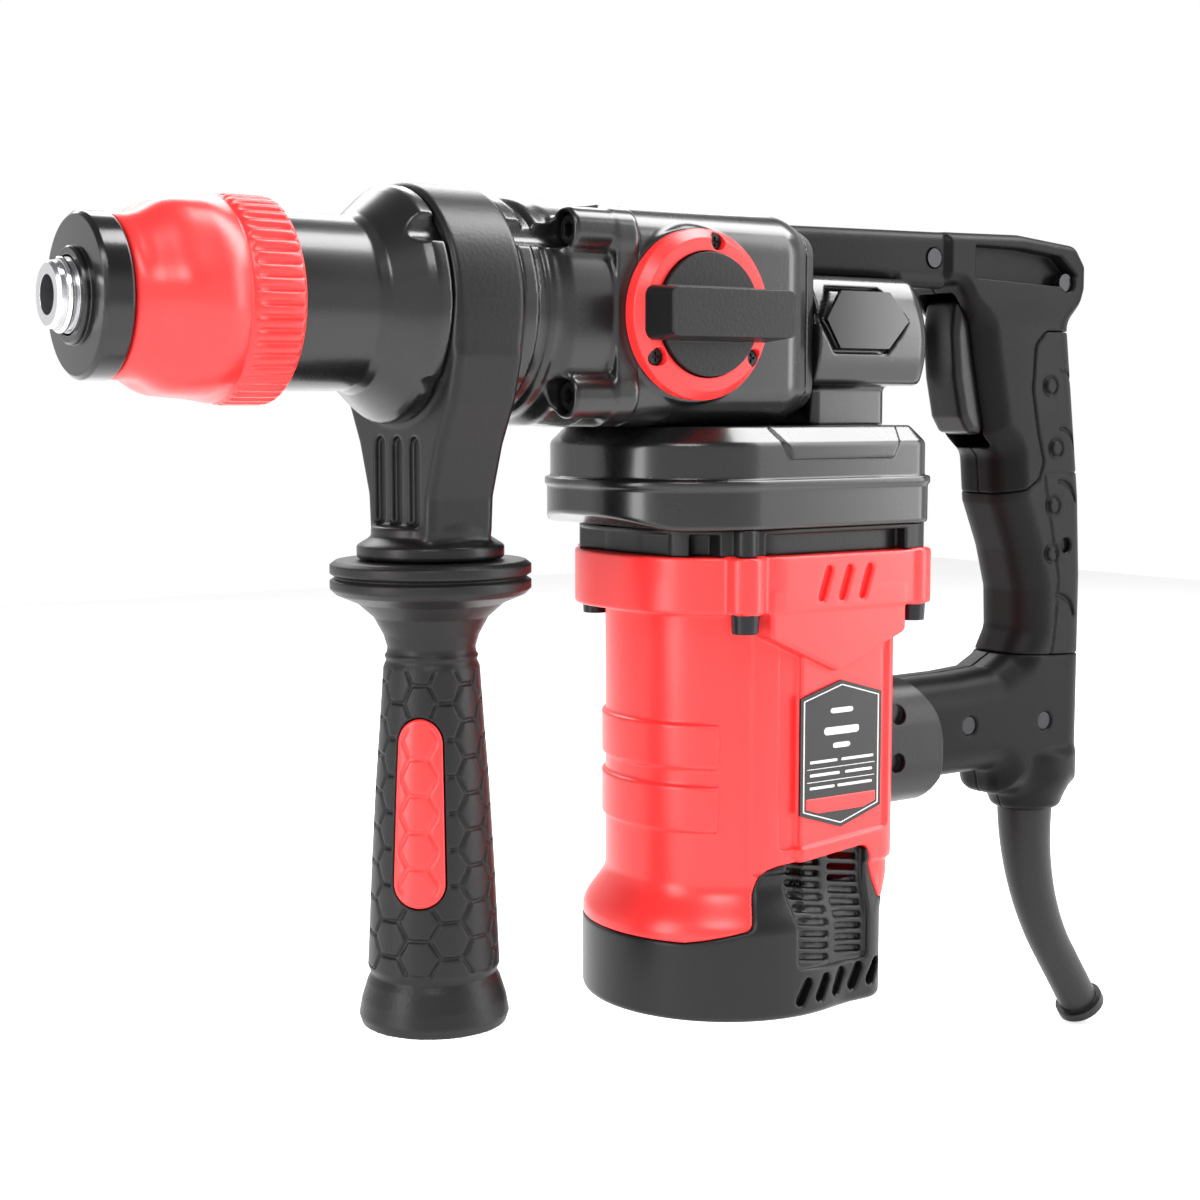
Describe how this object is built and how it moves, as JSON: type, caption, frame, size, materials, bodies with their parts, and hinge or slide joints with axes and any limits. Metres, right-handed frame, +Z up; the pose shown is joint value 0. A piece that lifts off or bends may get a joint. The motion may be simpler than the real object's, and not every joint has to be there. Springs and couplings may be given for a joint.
{
  "type": "demolition hammer",
  "caption": "L-shaped electric demolition hammer with an upright motor, slotted-shank tool holder, mode knob, D-shaped rear handle and swivelling side handle.",
  "frame": {"origin": "centre of the tool-holder bore at its mouth", "axes": "+X back along the spindle from the tool holder to the rear handle, +Z up away from the motor, -Y the side with the mode knob"},
  "size_m": [0.386, 0.094, 0.2821],
  "materials": {
    "black_casting": "gloss black enamel on die-cast aluminium",
    "black_plastic": "moulded black nylon",
    "gloss_black": "polished black plastic",
    "red_plastic": "moulded red plastic",
    "black_rubber": "soft black overmould",
    "steel": "machined steel",
    "hard_steel": "hardened steel",
    "chrome": "plated spring wire",
    "black_screw": "black oxide steel",
    "aluminium": "cast aluminium",
    "copper": "enamelled copper",
    "brass": "brass",
    "laminations": "stacked electrical steel",
    "carbon": "pressed carbon",
    "label": "printed plastic plate"
  },
  "bodies": {
    "housing": {"cylinder_cover": "black_casting", "crankcase": "black_casting", "bearing_plate": "aluminium", "cover_bolts": "black_screw", "gearcase": "black_casting", "vent_ring": "black_plastic", "motor_housing": "red_plastic", "motor_end_cap": "black_plastic", "motor_bolts": "black_screw", "badge_plates": "label", "stator_core": "laminations", "field_coils": "copper", "rotor_bearings": "steel", "brush_holders": "brass", "carbon_brushes": "carbon", "crank_bearings": "steel", "idler_stud": "steel", "spindle_bearings": "steel", "spindle_seal": "black_rubber", "selector_bezel": "red_plastic", "bezel_screws": "black_screw", "rear_cover": "black_casting", "handle_grip": "black_rubber", "handle_left": "black_plastic", "handle_right": "black_plastic", "handle_screws": "black_screw", "handle_socket": "black_plastic", "trigger_pin": "steel", "switch_body": "black_plastic", "cord_guard": "black_rubber"},
    "rotor": {"rotor_shaft": "steel", "fan": "black_plastic", "rotor_core": "laminations", "rotor_windings": "copper", "commutator": "copper"},
    "crank": {"crankshaft": "steel", "crank_gear": "steel"},
    "idler": {"idler_gear": "steel", "bevel_pinion": "steel"},
    "spindle": {"spindle": "steel", "bevel_ring": "steel", "lock_balls": "steel", "snap_ring": "chrome", "chuck_cap": "gloss_black", "sleeve_spring": "steel"},
    "lock_sleeve": {"lock_sleeve": "red_plastic"},
    "piston": {"piston": "aluminium", "wrist_pin": "steel"},
    "conrod": {"connecting_rod": "aluminium", "crank_pin": "steel"},
    "striker": {"striker": "hard_steel"},
    "impact_bolt": {"impact_bolt": "hard_steel"},
    "selector": {"selector_knob": "black_plastic", "selector_cam": "steel"},
    "trigger": {"trigger": "gloss_black", "trigger_spring": "steel"},
    "side_clamp": {"side_clamp": "black_plastic", "side_rod": "steel"},
    "side_grip": {"side_grip": "black_plastic", "side_grip_insert": "red_plastic"}
  },
  "joints": [
    {"name": "rotor_spin", "type": "hinge", "parent": "housing", "child": "rotor", "pos_m": [0.211, 0, -0.1], "axis": [0, 0, 1], "continuous": true},
    {"name": "crank_spin", "type": "hinge", "parent": "housing", "child": "crank", "pos_m": [0.181, 0, -0.04], "axis": [0, 0, 1], "continuous": true},
    {"name": "idler_spin", "type": "hinge", "parent": "housing", "child": "idler", "pos_m": [0.145, 0, -0.027], "axis": [0, 0, 1], "continuous": true},
    {"name": "spindle_spin", "type": "hinge", "parent": "housing", "child": "spindle", "pos_m": [0.08, 0, 0], "axis": [1, 0, 0], "continuous": true},
    {"name": "sleeve_slide", "type": "slide", "parent": "spindle", "child": "lock_sleeve", "axis": [1, 0, 0], "range_m": [0, 0.0075], "stiffness_N_per_m": 900, "springref_m": -0.006, "deforming": ["sleeve_spring"]},
    {"name": "piston_slide", "type": "slide", "parent": "housing", "child": "piston", "axis": [1, 0, 0], "range_m": [0, 0.022]},
    {"name": "conrod_swing", "type": "hinge", "parent": "piston", "child": "conrod", "pos_m": [0.139, 0, 0], "axis": [0, 0, 1], "range_deg": [-20.8, 20.8]},
    {"name": "striker_slide", "type": "slide", "parent": "spindle", "child": "striker", "axis": [1, 0, 0], "range_m": [-0.0025, 0.013]},
    {"name": "impact_bolt_slide", "type": "slide", "parent": "spindle", "child": "impact_bolt", "axis": [1, 0, 0], "range_m": [0, 0.003]},
    {"name": "selector_turn", "type": "hinge", "parent": "housing", "child": "selector", "pos_m": [0.1748, -0.04, -0.0018], "axis": [0, -1, 0], "range_deg": [-90, 90]},
    {"name": "trigger_pull", "type": "hinge", "parent": "housing", "child": "trigger", "pos_m": [0.322, 0, 0.005], "axis": [0, -1, 0], "range_deg": [0, 7], "stiffness_Nm_per_rad": 1.2, "springref_deg": -14.32, "deforming": ["trigger_spring"]},
    {"name": "side_handle_swing", "type": "hinge", "parent": "housing", "child": "side_clamp", "pos_m": [0.1075, 0, 0], "axis": [1, 0, 0], "range_deg": [-150, 150]},
    {"name": "side_grip_turn", "type": "hinge", "parent": "side_clamp", "child": "side_grip", "pos_m": [0.1075, 0, -0.13], "axis": [0, 0, 1], "range_deg": [-360, 0]}
  ],
  "couplings": [
    {"joint": "crank_spin", "follows": "rotor_spin", "ratio": -0.25},
    {"joint": "idler_spin", "follows": "rotor_spin", "ratio": 0.5},
    {"joint": "spindle_spin", "follows": "rotor_spin", "ratio": -0.16667}
  ]
}
